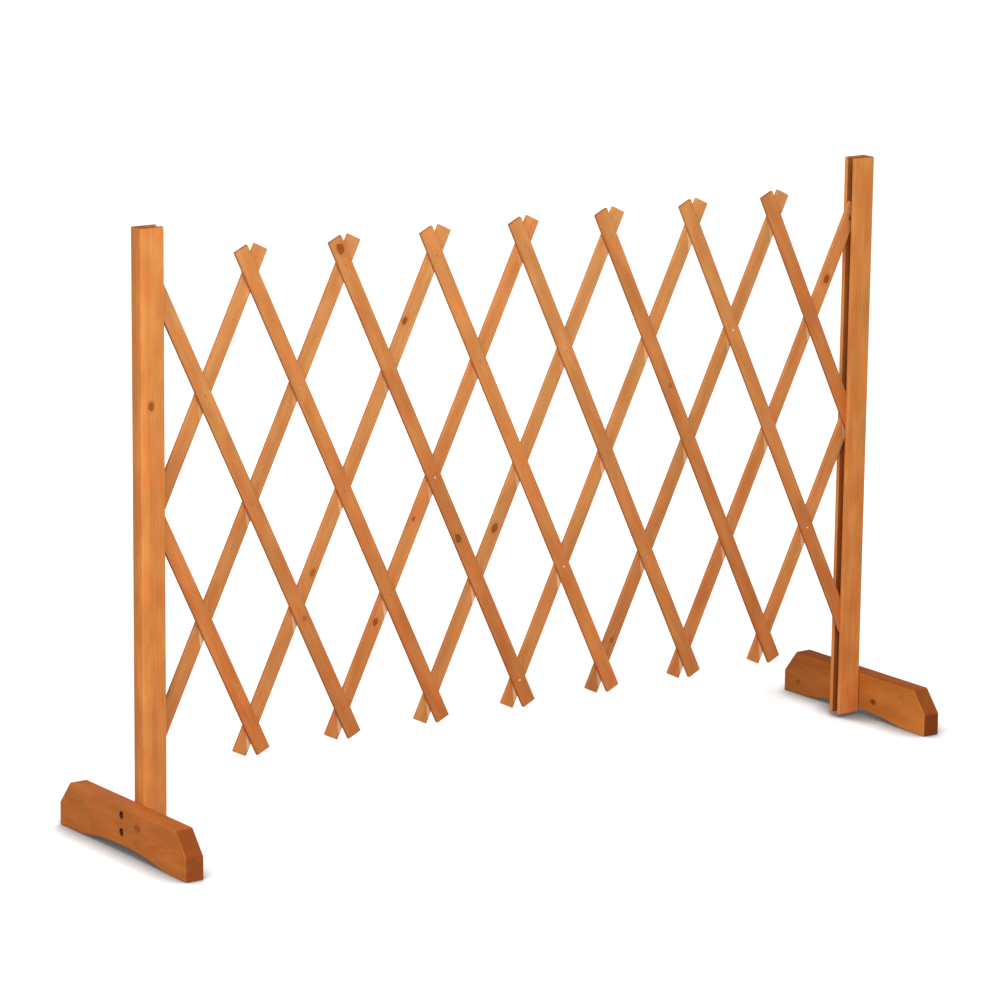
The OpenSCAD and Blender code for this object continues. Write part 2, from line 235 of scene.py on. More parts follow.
def make_softwood_group():
    """Stained softwood: growth rings round a pith, fibres along the board, knots, and darker sawn faces."""
    group, given, out = new_group(
        "stained_softwood",
        [("Board", "Vector"), ("Faces", "Vector"), ("Tone", "Vector"), ("Knot A", "Vector"),
         ("Knot B", "Vector"), ("Bare", "Float"), ("Pale", "Color"), ("Deep", "Color")],
        [("Color", "Color"), ("Roughness", "Float"), ("Height", "Float")])
    ring_width, wander_by, crowd_by = 0.0040, 0.018, 0.006
    ground_depth, late_depth, streak_depth, fibre_depth, halo_depth = 0.09, 0.17, 0.18, 0.26, 0.45
    mottle_by, green_loss, blue_loss = 0.6, 0.14, 0.22
    knot_share, knot_stain = 0.95, (0.63, 0.45, 0.28)
    rim_share, rim_stain = 0.9, (0.64, 0.55, 0.48)
    bare_share, bare_color = 0.9, (0.92, 0.58, 0.34)
    blotch_dark, blotch_light = 0.89, 1.09
    least_sap, sap_wander, sap_starts, sap_full, sap_lift = 1e-4, 0.006, -0.0010, 0.0016, 0.13
    # The soak tint is partly more stain and partly painted shade; eased arrises get a slightly lighter
    # painted highlight.
    end_stain, soak_and_shade_tint, arris_highlight = (0.58, 0.455, 0.46), (0.50, 0.40, 0.33), (1.04, 1.04, 1.04)
    planed_rough, soak_and_shade_rough, fibre_rough = 0.54, 0.25, 0.16
    fibre_high, late_high, knot_high = 0.6, -0.35, 0.4
    knot_tree = make_knot_group()
    flow, masks, halos, rims = given["Board"], [], [], []
    for label in ("Knot A", "Knot B"):
        knot = add_node(group, "ShaderNodeGroup", node_tree=knot_tree)
        group.links.new(flow, knot.inputs["Board"])
        group.links.new(given[label], knot.inputs["Knot"])
        flow = knot.outputs["Board"]
        masks.append(knot.outputs["Mask"])
        halos.append(knot.outputs["Halo"])
        rims.append(knot.outputs["Rim"])
    mask, halo, rim = (maths(group, "MAXIMUM", *pair) for pair in (masks, halos, rims))

    def stretched_noise(across, along, detail):
        """Noise with so many cells to a metre across the board and along it."""
        scale = (across, across, along)
        place = add_node(group, "ShaderNodeVectorMath", flow, scale, operation="MULTIPLY").outputs[0]
        return add_node(group, "ShaderNodeTexNoise", place, None, 1.0, detail).outputs[0]

    def stained(color, share, stain):
        """The colour, times a stain where share is 1."""
        darker = add_node(group, "ShaderNodeVectorMath", color, stain, operation="MULTIPLY").outputs[0]
        return mixed(group, share, color, darker)

    wander = stretched_noise(11.0, 3.0, 1.0)
    crowding = stretched_noise(75.0, 1.2, 1.0)
    streaks = stretched_noise(240.0, 3.0, 2.0)
    fibres = stretched_noise(1200.0, 26.0, 3.0)
    blotch = stretched_noise(36.0, 11.0, 2.0)
    mottle = stretched_noise(55.0, 17.0, 1.0)
    part = add_node(group, "ShaderNodeSeparateXYZ", flow).outputs
    square = maths(group, "ADD", maths(group, "POWER", part[0], 2.0), maths(group, "POWER", part[1], 2.0))
    from_pith = maths(group, "SQRT", square)
    radius = maths(group, "ADD", from_pith, maths(group, "MULTIPLY", wander, wander_by))
    radius = maths(group, "ADD", radius, maths(group, "MULTIPLY", crowding, crowd_by))
    phase = maths(group, "FRACT", maths(group, "DIVIDE", radius, ring_width))
    grows, ends = ease(group, phase, 0.2, 0.85), ease(group, phase, 0.88, 1.0, 1.0, 0.0)
    late = maths(group, "MULTIPLY", grows, ends)

    depth = maths(group, "ADD", maths(group, "MULTIPLY", late, late_depth), ground_depth)
    for pattern, low, high, share in ((streaks, 0.3, 0.72, streak_depth),
                                      (fibres, 0.35, 0.75, fibre_depth)):
        depth = maths(group, "ADD", depth, maths(group, "MULTIPLY", ease(group, pattern, low, high), share))
    depth = maths(group, "ADD", depth, maths(group, "MULTIPLY", halo, halo_depth))
    wood = add_node(group, "ShaderNodeMix", data_type="RGBA")
    send(group, (depth, given["Pale"], given["Deep"]), (wood.inputs[0], wood.inputs[6], wood.inputs[7]))

    tone = add_node(group, "ShaderNodeSeparateXYZ", given["Tone"]).outputs
    redness = maths(group, "ADD", tone[1], ease(group, mottle, 0.3, 0.7, -mottle_by, mottle_by))
    less_green = maths(group, "SUBTRACT", 1.0, maths(group, "MULTIPLY", redness, green_loss))
    less_blue = maths(group, "SUBTRACT", 1.0, maths(group, "MULTIPLY", redness, blue_loss))
    hue = add_node(group, "ShaderNodeCombineXYZ", 1.0, less_green, less_blue).outputs[0]
    hued = add_node(group, "ShaderNodeVectorMath", wood.outputs[2], hue, operation="MULTIPLY").outputs[0]

    tinted = stained(hued, maths(group, "MULTIPLY", mask, knot_share), knot_stain)
    tinted = stained(tinted, maths(group, "MULTIPLY", rim, rim_share), rim_stain)
    tinted = mixed(group, maths(group, "MULTIPLY", given["Bare"], bare_share), tinted, bare_color)

    faces = add_node(group, "ShaderNodeSeparateXYZ", given["Faces"]).outputs
    shade = maths(group, "MULTIPLY", ease(group, blotch, 0.25, 0.75, blotch_dark, blotch_light), tone[0])
    has_sap = maths(group, "GREATER_THAN", tone[2], least_sap)
    sap_reach = maths(group, "ADD", from_pith, maths(group, "MULTIPLY", wander, sap_wander))
    sap_edge = maths(group, "SUBTRACT", sap_reach, tone[2])
    sap = maths(group, "MULTIPLY", ease(group, sap_edge, sap_starts, sap_full), has_sap)
    lift = maths(group, "ADD", 1.0, maths(group, "MULTIPLY", sap, sap_lift))
    shade = maths(group, "MULTIPLY", shade, lift)
    for face, stain in zip(faces, (end_stain, soak_and_shade_tint, arris_highlight)):
        tinted = stained(tinted, face, stain)
    roughness = maths(group, "ADD", planed_rough, maths(group, "MULTIPLY", faces[1], soak_and_shade_rough))
    roughness = maths(group, "ADD", roughness, maths(group, "MULTIPLY", fibres, fibre_rough))
    height = maths(group, "MULTIPLY", fibres, fibre_high)
    height = maths(group, "ADD", height, maths(group, "MULTIPLY", late, late_high))
    height = maths(group, "ADD", height, maths(group, "MULTIPLY", mask, knot_high))
    send(group, (scaled(group, tinted, shade), roughness, height), out)
    return group


softwood = make_softwood_group()


def read_stored(tree, reader, sockets):
    """Feeds a group's sockets from the mesh attributes that have their names."""
    for socket in sockets:
        attribute = socket.lower().replace(" ", "_")
        stored = add_node(tree, "ShaderNodeAttribute", attribute_name=attribute)
        tree.links.new(stored.outputs["Vector"], reader.inputs[socket])


def stained_wood(name, pale, deep):
    """A material of the stained softwood group with its own two colours, and its group node."""
    material = bpy.data.materials.new(name)
    material.use_nodes = True
    tree = material.node_tree
    shader = tree.nodes["Principled BSDF"]
    grain = add_node(tree, "ShaderNodeGroup", node_tree=softwood)
    read_stored(tree, grain, ("Board", "Faces", "Tone", "Knot A", "Knot B"))
    grain.inputs["Pale"].default_value = (*pale, 1.0)
    grain.inputs["Deep"].default_value = (*deep, 1.0)
    bump = tree.nodes.new("ShaderNodeBump")
    bump.inputs["Strength"].default_value = 0.25
    bump.inputs["Distance"].default_value = 0.0006
    tree.links.new(grain.outputs["Height"], bump.inputs["Height"])
    tree.links.new(grain.outputs["Color"], shader.inputs["Base Color"])
    tree.links.new(grain.outputs["Roughness"], shader.inputs["Roughness"])
    tree.links.new(bump.outputs[0], shader.inputs["Normal"])
    shader.inputs["Specular IOR Level"].default_value = 0.12
    return material, grain


def store(mesh, name, domain, values):
    """Stores a list of vectors as an attribute of the mesh."""
    made = mesh.attributes.new(name, "FLOAT_VECTOR", domain)
    made.data.foreach_set("vector", [c for v in values for c in v])


def lay_grain(mesh, to_board, pith, pith_lean, tone, tone_slope, knots, soak_and_shade):
    """Stores each point's place in its board from the pith, and each face's stain, painted shade and
    highlight.

    A tone is brightness, redness and the radius of the sapwood, and tone_slope is its change along a metre.
    """
    count = len(mesh.vertices)
    points = [to_board @ v.co for v in mesh.vertices]
    store(mesh, "place", "POINT", points)
    store(mesh, "board", "POINT", [p + pith + Vector((0, pith_lean * p.z, 0)) for p in points])
    store(mesh, "tone", "POINT", [Vector(tone) + Vector(tone_slope) * p.z for p in points])
    blank = (-pith.x, -pith.z, 0.0)
    for name, knot in zip(("knot_a", "knot_b"), (*knots, blank, blank)):
        store(mesh, name, "POINT", [(knot[0] + pith.x, knot[1] + pith.z, knot[2])] * count)
    square_to, end_from, end_full, mostly_end = 0.985, 0.35, 0.80, 0.6
    marks = []
    for face in mesh.polygons:
        normal = (to_board.to_3x3() @ face.normal).normalized()
        n = [abs(c) for c in normal]
        sawn = min(1.0, max(0.0, n[2] - end_from) / (end_full - end_from))
        eased = 1.0 if max(n) < square_to and sawn < mostly_end else 0.0
        marks.append((sawn, soak_and_shade(to_board @ face.center, normal), eased))
    store(mesh, "faces", "FACE", marks)


def bar_of(outline, to_frame, length, ease_by):
    """A bar of an outline, eased along every sharp edge and placed in the frame."""
    sharp_from = math.radians(15)
    shape = bmesh.new()
    face = shape.faces.new([shape.verts.new((a, b, 0.0)) for a, b in outline])
    far = bmesh.ops.extrude_face_region(shape, geom=[face])["geom"]
    far_points = [g for g in far if isinstance(g, bmesh.types.BMVert)]
    bmesh.ops.translate(shape, verts=far_points, vec=(0, 0, length))
    bmesh.ops.recalc_face_normals(shape, faces=shape.faces)
    sharp = [e for e in shape.edges if e.calc_face_angle() > sharp_from]
    bmesh.ops.bevel(shape, geom=sharp, offset=ease_by, segments=3, affect="EDGES", profile=0.5)
    bmesh.ops.transform(shape, matrix=to_frame, verts=shape.verts)
    bmesh.ops.recalc_face_normals(shape, faces=shape.faces)
    return shape


def add_rod(shape, start, end, radius, sides=40):
    """Adds a round rod between two points."""
    way = Vector(end) - Vector(start)
    middle = (Vector(start) + Vector(end)) / 2
    spot = Matrix.Translation(middle) @ way.to_track_quat("Z", "Y").to_matrix().to_4x4()
    bmesh.ops.create_cone(shape, cap_ends=True, segments=sides, radius1=radius, radius2=radius,
                          depth=way.length, matrix=spot)


def as_mesh(name, shape):
    """The shape as a mesh. The shape is used up."""
    mesh = bpy.data.meshes.new(name)
    shape.to_mesh(mesh)
    shape.free()
    return mesh


def cut_away(shape, cutter, name):
    """The shape as a mesh, with the cutter taken out of it. Both are used up."""
    holders = [bpy.data.objects.new(name, as_mesh(name, solid)) for solid in (shape, cutter)]
    for holder in holders:
        scene.collection.objects.link(holder)
    cut = holders[0].modifiers.new("cut", "BOOLEAN")
    cut.object, cut.solver, cut.operation = holders[1], "EXACT", "DIFFERENCE"
    whole = holders[0].evaluated_get(bpy.context.evaluated_depsgraph_get())
    result = bpy.data.meshes.new_from_object(whole)
    for holder in holders:
        bpy.data.meshes.remove(holder.data)
    result.name = name
    return result


def as_piece(name, mesh, material, body, node):
    """An object for a finished mesh, riding on its body in place of its CAD node."""
    mesh.materials.clear()
    mesh.materials.append(material)
    piece = bpy.data.objects.new(name, mesh)
    scene.collection.objects.link(piece)
    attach(piece, body)
    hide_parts(node)


post_wood, _ = stained_wood("post_wood", (0.74, 0.272, 0.068), (0.55, 0.172, 0.038))
groove_half, groove_depth, post_ease = 0.007, 0.030, 0.0015
post_pin_r, pivot_inset, post_pin_bite = 0.00205, 0.010, 0.0055
lattice_mid = 0.562
past_face, sliver = 0.01, 1e-4
post_pith_lean, post_top_soak_and_shade = 0.006, 0.7
# The pith's place, the tone, its slope and the knots of each post.
post_looks = {"left": (Vector((-0.050, -0.060, 0.0)), (1.0, 0.3, 0.095), (0.0, -0.3, 0.0),
                       [(-0.0035, 0.749, 0.0048)]),
              "right": (Vector((0.024, 0.071, 3.0)), (1.05, 0.6, 0.0), (0.0, -0.7, 0.0), [])}
for side, sign in (("left", -1), ("right", 1)):
    low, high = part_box(f"{side}_post")
    width, half = high.x - low.x, high.y
    outline = [(0, -groove_half), (0, -half), (width, -half), (width, half), (0, half), (0, groove_half),
               (groove_depth, groove_half), (groove_depth, -groove_half)]
    mouth = high.x if sign < 0 else low.x
    to_frame = Matrix.Translation((mouth, 0, low.z)) @ Matrix.Diagonal((sign, 1, 1, 1))
    shape = bar_of(outline, to_frame, high.z - low.z, post_ease)
    pin_x = mouth + sign * pivot_inset
    cutter = bmesh.new()
    blind_end, open_end = -groove_half - post_pin_bite, half + past_face
    add_rod(cutter, (pin_x, blind_end, lattice_mid), (pin_x, open_end, lattice_mid), post_pin_r)
    mesh = cut_away(shape, cutter, f"{side}_post_wood")

    def post_soak_and_shade(centre, normal, sign=sign, face_at=-sign * width / 2, lip=post_ease * 1.5):
        """Full in the groove, and most of the way on the sawn top: stain, with painted shade added on both.
        """
        mostly = 0.5
        inside = abs(centre.y) < groove_half + sliver and abs(centre.x - face_at) > lip
        if inside and normal.x * sign < mostly and abs(normal.z) < mostly:
            return 1.0
        return post_top_soak_and_shade if normal.z > mostly else 0.0

    pith, tone, tone_slope, knots = post_looks[side]
    to_board = Matrix.Translation((-(low.x + high.x) / 2, 0, 0))
    lay_grain(mesh, to_board, pith, post_pith_lean, tone, tone_slope, knots, post_soak_and_shade)
    as_piece(f"{side}_grooved_post", mesh, post_wood, f"{side}_stand", f"{side}_post")


# Feet. Each is a stained softwood board on edge, screwed to the outer face of its post, with its upper
# corners sawn off and a shallow arch cut underneath so that it stands on two pads.
foot_wood, _ = stained_wood("foot_wood", (0.63, 0.194, 0.033), (0.475, 0.122, 0.017))
cut_len, cut_high = 0.033, 0.041
pad_len, arch_rise, arch_steps = 0.065, 0.013, 40
foot_ease, foot_pith_lean = 0.0024, 0.07
screw_heights = (0.065, 0.036)
shank_r, sink_r, sink_depth = 0.00255, 0.007, 0.007
corner_line, bore_overlap = 0.0016, 0.001
post_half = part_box("left_post")[1].y
# The pith's place, the tone, its slope, the knots and how much painted shade darkens the top, for each
# foot.
foot_looks = {"left": (Vector((0.012, 0.055, 1.0)), (1.0, 0.15, 0.0), (0.0, 0.0, 0.0),
                       [(0.0137, -0.0496, -0.0056)], 0.6),
              "right": (Vector((-0.02, 0.048, 5.0)), (0.91, 0.05, 0.0), (-0.9, 3.2, 0.0),
                        [(-0.0072, -0.0559, 0.0044), (-0.0165, 0.160, -0.0036)], 0.85)}
# The sloping cuts are end grain and hold more stain; the right foot's ends are darkened as painted shade.
cut_soak, right_end_shade = 0.35, 0.62
for side, sign in (("left", -1), ("right", 1)):
    low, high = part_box(f"{side}_foot")
    half, tall, thick = high.y, high.z, high.x - low.x
    span = half - pad_len
    arch_r = (span ** 2 + arch_rise ** 2) / (2 * arch_rise)
    steps = [span - 2 * span * i / arch_steps for i in range(1, arch_steps)]
    arch = [(y, arch_rise - arch_r + math.sqrt(arch_r ** 2 - y ** 2)) for y in steps]
    outline = [(-half, 0), (-half, tall - cut_high), (-half + cut_len, tall), (half - cut_len, tall),
               (half, tall - cut_high), (half, 0), (span, 0), *arch, (-span, 0)]
    to_frame = Matrix(((0, 0, 1, low.x), (1, 0, 0, 0), (0, 1, 0, 0), (0, 0, 0, 1)))
    shape = bar_of(outline, to_frame, thick, foot_ease)
    outer, inner = (low.x, high.x) if sign < 0 else (high.x, low.x)
    cutter = bmesh.new()
    for z in screw_heights:
        shank_end = outer - sign * (sink_depth - bore_overlap)
        add_rod(cutter, (inner - sign * past_face, 0, z), (shank_end, 0, z), shank_r)
        add_rod(cutter, (outer - sign * sink_depth, 0, z), (outer + sign * past_face, 0, z), sink_r)
    for y in (-post_half - corner_line, -post_half, post_half, post_half + corner_line):
        bmesh.ops.bisect_plane(shape, geom=[*shape.verts, *shape.edges, *shape.faces], plane_co=(0, y, 0),
                               plane_no=(0, 1, 0))
    mesh = cut_away(shape, cutter, f"{side}_foot_wood")

    pith, tone, tone_slope, knots, foot_top_shade = foot_looks[side]
    end_shade = right_end_shade if sign > 0 else 0.0

    def foot_soak_and_shade(centre, normal, sign=sign, tall=tall, thick=thick, top=foot_top_shade, end=end_shade):
        """Painted shade, full in bores and by the post, part on top and right ends; stain on sloping cuts.
        """
        faces_inwards, faces_along, slopes_up, faces_up = -0.9, 0.6, 0.3, 0.7
        off = min(math.hypot(centre.x + tall / 2 - z, centre.z) for z in screw_heights)
        in_bore = off < sink_r and abs(centre.y) < thick / 2 - sliver
        # The strip of inner face beside the post is painted shade of the gap between post and foot.
        by_post = post_half < abs(centre.z) < post_half + corner_line
        if in_bore or (by_post and normal.y * sign < faces_inwards):
            return 1.0
        if abs(normal.z) > faces_along:
            return cut_soak if normal.x > slopes_up else end
        return top if normal.x > faces_up else 0.0

    to_board = Matrix(((0, 0, 1, -tall / 2), (1, 0, 0, -(low.x + high.x) / 2), (0, 1, 0, 0), (0, 0, 0, 1)))
    lay_grain(mesh, to_board, pith, foot_pith_lean, tone, tone_slope, knots, foot_soak_and_shade)
    as_piece(f"{side}_arched_foot", mesh, foot_wood, f"{side}_stand", f"{side}_foot")


# Foot screws. Two zinc-plated pan-head screws with a cross recess hold each foot, their heads sunk well
# below the foot's outer face.
def turned(profile, sides):
    """A solid of revolution about Z from (radius, height) points that start and end on the axis."""
    shape = bmesh.new()
    rings = []
    for radius, height in profile:
        angles = [2 * math.pi * i / sides for i in range(sides)] if radius > 0 else [0.0]
        points = [(radius * math.cos(a), radius * math.sin(a), height) for a in angles]
        rings.append([shape.verts.new(p) for p in points])
    for low_ring, high_ring in zip(rings, rings[1:]):
        for i in range(sides):
            j = (i + 1) % sides
            quad = [low_ring[i % len(low_ring)], low_ring[j % len(low_ring)],
                    high_ring[j % len(high_ring)], high_ring[i % len(high_ring)]]
            shape.faces.new(list(dict.fromkeys(quad)))
    bmesh.ops.recalc_face_normals(shape, faces=shape.faces)
    return shape


def dome(radius, base, height, rounding):
    """The profile of a domed head, from shares of its radius and its height."""
    return [(radius * r, base + height * h) for r, h in rounding]


def plated_metal(name, bright, dull, stain, clean):
    """Cloudy zinc plate; where the piece's attribute for clean metal is low it takes a matt stain colour
    instead.
    """
    cloud_scale, cloud_dark, cloud_light = 700.0, 0.72, 1.05
    cloud_rough, stain_rough = 0.2, 0.35
    material = bpy.data.materials.new(name)
    material.use_nodes = True
    tree = material.node_tree
    shader = tree.nodes["Principled BSDF"]
    place = tree.nodes.new("ShaderNodeTexCoord").outputs["Object"]
    cloud = add_node(tree, "ShaderNodeTexNoise", place, None, cloud_scale, 3.0).outputs[0]
    shade = ease(tree, cloud, 0.3, 0.7, cloud_dark, cloud_light)
    bare = add_node(tree, "ShaderNodeAttribute", attribute_name=clean).outputs["Fac"]
    color = mixed(tree, bare, scaled(tree, stain, shade), scaled(tree, bright, shade))
    rough = ease(tree, cloud, 0.25, 0.8, dull, dull + cloud_rough)
    rough = maths(tree, "ADD", rough, ease(tree, bare, 0.0, 1.0, stain_rough, 0.0))
    shader.inputs["Specular IOR Level"].default_value = 0.15
    send(tree, (color, rough, bare),
         (shader.inputs["Base Color"], shader.inputs["Roughness"], shader.inputs["Metallic"]))
    return material


def set_input(modifier, tree, label, value):
    """Sets a Geometry Nodes input by its identifier."""
    for item in tree.interface.items_tree:
        if item.in_out == "INPUT" and item.name == label:
            modifier[item.identifier] = value


def new_geometry_tree(name, inputs):
    """An empty Geometry Nodes tree with named inputs, its input sockets and its output node's sockets."""
    tree = bpy.data.node_groups.new(name, "GeometryNodeTree")
    for label, kind in inputs:
        tree.interface.new_socket(label, in_out="INPUT", socket_type="NodeSocket" + kind)
    tree.interface.new_socket("Geometry", in_out="OUTPUT", socket_type="NodeSocketGeometry")
    return tree, tree.nodes.new("NodeGroupInput").outputs, tree.nodes.new("NodeGroupOutput").inputs


def link_in(tree, kind, inputs, **settings):
    """A new geometry node with its inputs fed by name."""
    made = add_node(tree, kind, **settings)
    for label, value in inputs.items():
        if isinstance(value, bpy.types.NodeSocket):
            tree.links.new(value, made.inputs[label])
        else:
            made.inputs[label].default_value = value
    return made.outputs[0]


def finish_tree(tree, geometry, material, out):
    """Ends a tree in real geometry with its material."""
    real = link_in(tree, "GeometryNodeRealizeInstances", {"Geometry": geometry})
    finished = link_in(tree, "GeometryNodeSetMaterial", {"Geometry": real, "Material": material})
    tree.links.new(finished, out[0])


def make_fastener_tree():
    """A row of one fastener at even steps, each rolled further about its axis than the last.

    From the first bare one on, every so many are left bare by a share.
    """
    tree, given, out = new_geometry_tree("fastener_row", (
        ("Fastener", "Object"), ("Count", "Int"), ("First", "Vector"), ("Step", "Vector"),
        ("Turn", "Vector"), ("Roll", "Float"), ("First Bare", "Int"), ("Bare Every", "Int"),
        ("Bare Share", "Float"), ("Metal", "Material")))
    row = link_in(tree, "GeometryNodeMeshLine",
                  {"Count": given["Count"], "Start Location": given["First"], "Offset": given["Step"]})
    shape = add_node(tree, "GeometryNodeObjectInfo", given["Fastener"]).outputs["Geometry"]
    placed = link_in(tree, "GeometryNodeInstanceOnPoints",
                     {"Points": row, "Instance": shape, "Rotation": given["Turn"]})
    index = tree.nodes.new("GeometryNodeInputIndex").outputs[0]
    roll = add_node(tree, "ShaderNodeCombineXYZ", None, None, maths(tree, "MULTIPLY", index, given["Roll"]))
    placed = link_in(tree, "GeometryNodeRotateInstances",
                     {"Instances": placed, "Rotation": roll.outputs[0]})
    past = maths(tree, "SUBTRACT", index, given["First Bare"])
    on_step = maths(tree, "LESS_THAN", maths(tree, "FLOORED_MODULO", past, given["Bare Every"]), 0.5)
    bare = maths(tree, "MULTIPLY", on_step, maths(tree, "GREATER_THAN", past, -0.5))
    bare = maths(tree, "MULTIPLY", bare, given["Bare Share"])
    marked = add_node(tree, "GeometryNodeStoreNamedAttribute", data_type="FLOAT", domain="INSTANCE")
    marked.inputs["Name"].default_value = "bare"
    tree.links.new(placed, marked.inputs["Geometry"])
    tree.links.new(bare, marked.inputs["Value"])
    finish_tree(tree, marked.outputs[0], given["Metal"], out)
    return tree


def grown(tree, name, values):
    """The plain mesh that a Geometry Nodes tree makes from these inputs."""
    holder = bpy.data.objects.new(name, bpy.data.meshes.new(name))
    modifier = holder.modifiers.new("grow", "NODES")
    modifier.node_group = tree
    for label, value in values.items():
        set_input(modifier, tree, label, value)
    scene.collection.objects.link(holder)
    whole = holder.evaluated_get(bpy.context.evaluated_depsgraph_get())
    mesh = bpy.data.meshes.new_from_object(whole)
    mesh.name = name
    holder.modifiers.remove(modifier)
    bpy.data.objects.remove(holder)
    return mesh


def shade_round(mesh):
    """Shades a turned piece smooth, apart from its creases."""
    crease = math.radians(38)
    mesh.polygons.foreach_set("use_smooth", [True] * len(mesh.polygons))
    mesh.set_sharp_from_angle(angle=crease)


def master_copy(name, mesh):
    """An object that a row is made from; it is taken away once the rows are made."""
    shade_round(mesh)
    master = bpy.data.objects.new(name, mesh)
    scene.collection.objects.link(master)
    return master


screw_metal = plated_metal("screw_metal", (0.76, 0.76, 0.74), 0.28, (0.11, 0.08, 0.06), "outside_recess")
screw_bite, point_len, head_r, head_h = 0.012, 0.003, 0.0052, 0.0034
shank_play, screw_sides = 5e-5, 40
slot_w, slot_len, slot_depth = 0.0017, 0.0066, 0.0018
recess_r, recess_top = slot_len * 0.52, head_h * 0.9
first_roll, next_roll = math.radians(20), math.radians(38)
foot_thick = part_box("left_foot")[1].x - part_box("left_foot")[0].x
tip = -(foot_thick - sink_depth) - screw_bite
thin_r = shank_r - shank_play
pan_rounding = ((1.0, 0.45), (0.94, 0.68), (0.8, 0.86), (0.58, 0.97), (0.3, 1.0), (0.0, 1.0))
screw_profile = [(0, tip), (thin_r, tip + point_len), (thin_r, 0), (head_r, 0),
                 *dome(head_r, 0, head_h, pan_rounding)]
arm, half_slot = slot_len / 2, slot_w / 2
quarter = [(arm, -half_slot), (arm, half_slot), (half_slot, half_slot)]
cross = [Matrix.Rotation(turn * math.pi / 2, 2) @ Vector(q) for turn in range(4) for q in quarter]
recess = bmesh.new()
floor_ring, open_ring = [[recess.verts.new((*p, z)) for p in cross]
                         for z in (head_h - slot_depth, 2 * head_h)]
recess.faces.new(floor_ring[::-1])
recess.faces.new(open_ring)
for i in range(len(cross)):
    recess.faces.new((floor_ring[i - 1], floor_ring[i], open_ring[i], open_ring[i - 1]))
screw_mesh = cut_away(turned(screw_profile, screw_sides), recess, "pan_head_screw")
# The faces of the cross recess get a dark matt colour in place of plated metal.
outside_recess = []
for face in screw_mesh.polygons:
    sunk = face.center.xy.length < recess_r and 0.0 < face.center.z < recess_top
    outside_recess.append((0.0 if sunk else 1.0,) * 3)
store(screw_mesh, "outside_recess", "FACE", outside_recess)
screw_master = master_copy("pan_head_screw", screw_mesh)
fastener_tree = make_fastener_tree()
for side, sign in (("left", -1), ("right", 1)):
    low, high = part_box(f"{side}_foot")
    outer = low.x if sign < 0 else high.x
    driven = Matrix.Rotation(sign * math.pi / 2, 3, "Y") @ Matrix.Rotation(first_roll, 3, "Z")
    mesh = grown(fastener_tree, f"{side}_screw_pair", {
        "Fastener": screw_master, "Count": len(screw_heights),
        "First": (outer - sign * sink_depth, 0, screw_heights[0]),
        "Step": (0, 0, screw_heights[1] - screw_heights[0]), "Turn": tuple(driven.to_euler()),
        "Roll": next_roll, "First Bare": 0, "Bare Every": 1, "Bare Share": 1.0, "Metal": screw_metal})
    as_piece(f"{side}_sunk_screws", mesh, screw_metal, f"{side}_stand", f"{side}_foot_screws")
bpy.data.objects.remove(screw_master)


# Post pins. One stout plated steel pin with a low domed head is driven from behind through each post and
# through the two slats that meet in its groove, and carries the lattice's middle row.
pin_metal = plated_metal("pin_metal", (0.97, 0.86, 0.66), 0.22, (0.60, 0.205, 0.055), "bare")
post_head_r, post_head_h, post_pin_sides = 0.004, 0.0016, 36
post_shank_r, post_tip_r, post_tip_h = 0.002, 0.0017, 0.0006
post_rounding = ((1.0, 0.35), (0.86, 0.75), (0.5, 0.97), (0.0, 1.0))
post_pin_bare = 0.5
for side in ("left", "right"):
    low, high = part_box(f"{side}_post_pin")
    shank_len = high.y - low.y - post_head_h
    profile = [(0, 0), (post_tip_r, 0), (post_shank_r, post_tip_h), (post_shank_r, shank_len),
               (post_head_r, shank_len), *dome(post_head_r, shank_len, post_head_h, post_rounding)]
    shape = turned(profile, post_pin_sides)
    spot = Matrix.Translation(((low.x + high.x) / 2, low.y, lattice_mid))
    spot = spot @ Matrix.Rotation(-math.pi / 2, 4, "X")
    bmesh.ops.transform(shape, matrix=spot, verts=shape.verts)
    mesh = as_mesh(f"{side}_middle_pin", shape)
    shade_round(mesh)
    bare = mesh.attributes.new("bare", "FLOAT", "POINT")
    bare.data.foreach_set("value", [post_pin_bare] * len(mesh.vertices))
    as_piece(f"{side}_middle_pin", mesh, pin_metal, f"{side}_stand", f"{side}_post_pin")


